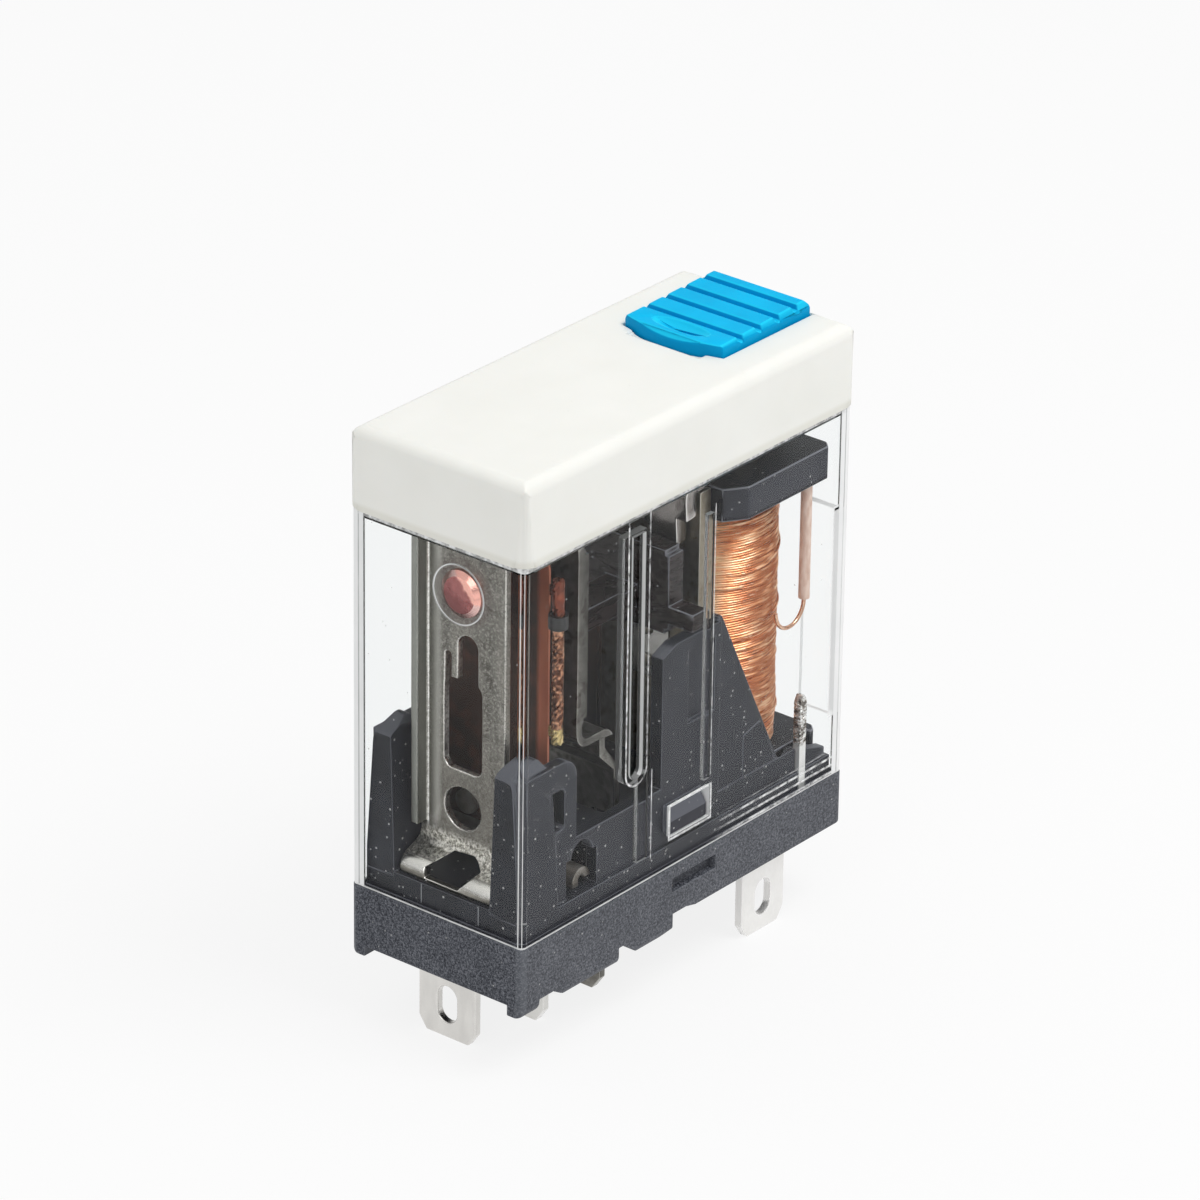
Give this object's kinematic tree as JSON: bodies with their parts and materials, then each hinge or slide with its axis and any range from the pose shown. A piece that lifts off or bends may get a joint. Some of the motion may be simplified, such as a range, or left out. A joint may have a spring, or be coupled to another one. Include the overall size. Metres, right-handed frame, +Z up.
{
  "type": "slim interface relay",
  "caption": "Slim plug-in relay: black base with flat blades, clear case over a coil and changeover contact, white cap, blue test button.",
  "frame": {"origin": "centre of the outline seen from above, at the blade tips", "axes": "+X along the long side towards the coil end, +Y across the relay, +Z up from the blade tips to the cap"},
  "size_m": [0.0292, 0.0128, 0.0371],
  "materials": {
    "base_plastic": "dark grey moulding with a fine eroded texture",
    "clear_plastic": "clear moulding",
    "cap_plastic": "off-white satin moulding",
    "button_plastic": "glossy blue moulding",
    "nickel_sheet": "nickel-plated sheet",
    "tinned_sheet": "tinned copper alloy sheet",
    "contact_metal": "silver alloy contact rivet",
    "copper_alloy": "red copper alloy strip",
    "copper_wire": "enamelled copper wire",
    "dark_sleeve": "dark insulating sleeve",
    "pale_sleeve": "pale insulating sleeve",
    "coil_plastic": "black moulding",
    "magnet_iron": "plated soft iron",
    "spring_steel": "spring steel leaf"
  },
  "bodies": {
    "housing": {"base": "base_plastic", "clear_case": "clear_plastic", "cap": "cap_plastic", "outer_terminal": "nickel_sheet", "outer_contact": "contact_metal", "middle_terminal": "tinned_sheet", "spring_rivets": "contact_metal", "inner_terminal": "nickel_sheet", "inner_contact": "contact_metal", "hinge_spring": "spring_steel", "yoke": "magnet_iron", "core": "magnet_iron", "bobbin": "coil_plastic", "winding": "copper_wire", "near_coil_terminal": "tinned_sheet", "far_coil_terminal": "tinned_sheet", "near_coil_lead": "copper_wire", "far_coil_lead": "copper_wire", "near_lead_sleeve": "pale_sleeve", "far_lead_sleeve": "pale_sleeve"},
    "button": {"test_button": "button_plastic"},
    "armature": {"armature": "magnet_iron"},
    "card": {"push_card": "coil_plastic"},
    "contact_arm": {"contact_spring": "copper_alloy", "moving_contact": "contact_metal", "shunt_wire": "copper_wire", "shunt_sleeve": "dark_sleeve"}
  },
  "joints": [
    {"name": "test_button_press", "type": "slide", "parent": "housing", "child": "button", "axis": [0, 0, -1], "range_m": [0, 0.0006], "stiffness_N_per_m": 2500, "springref_m": -0.0002},
    {"name": "armature_tilt", "type": "hinge", "parent": "housing", "child": "armature", "pos_m": [0.0037, 0, 0.0288], "axis": [0, 1, 0], "range_deg": [0, 4]},
    {"name": "card_slide", "type": "slide", "parent": "housing", "child": "card", "axis": [-1, 0, 0], "range_m": [0, 0.000224]},
    {"name": "contact_arm_tilt", "type": "hinge", "parent": "housing", "child": "contact_arm", "pos_m": [-0.00942, 0, 0.01205], "axis": [0, -1, 0], "range_deg": [0, 1.21]}
  ],
  "couplings": [
    {"joint": "armature_tilt", "follows": "test_button_press", "rad_per_m": 116.3},
    {"joint": "card_slide", "follows": "test_button_press", "ratio": 0.372},
    {"joint": "contact_arm_tilt", "follows": "test_button_press", "rad_per_m": 35.1}
  ]
}
